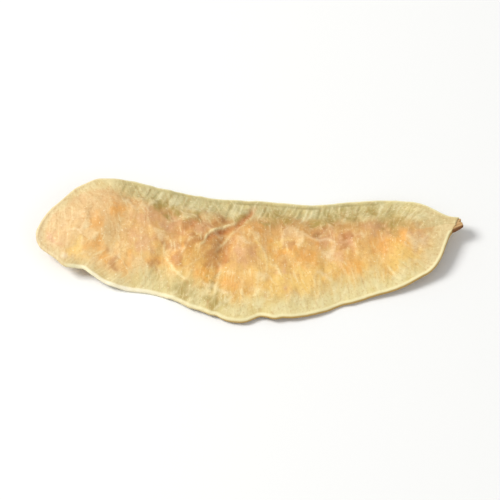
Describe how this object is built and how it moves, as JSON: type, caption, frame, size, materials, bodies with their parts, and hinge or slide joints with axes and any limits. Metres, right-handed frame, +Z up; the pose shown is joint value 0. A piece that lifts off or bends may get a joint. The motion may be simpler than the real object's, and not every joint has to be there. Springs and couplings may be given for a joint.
{
  "type": "senna pod",
  "caption": "Dried flat seed pod, a curved papery legume with a raised rim all round, seed swellings along its middle and a torn stalk stub.",
  "frame": {"origin": "under the middle of the pod's bounding box, on the surface that the pod lies on", "axes": "+X along the pod towards its stalk stub, +Y across it towards the hollow side of its bend, +Z up from the surface that it lies on"},
  "size_m": [0.057, 0.0208, 0.0044],
  "materials": {
    "dried_pod_skin": "satin, papery, straw and tan with pale veins"
  },
  "bodies": {
    "root": {"pod": "dried_pod_skin"}
  },
  "joints": []
}
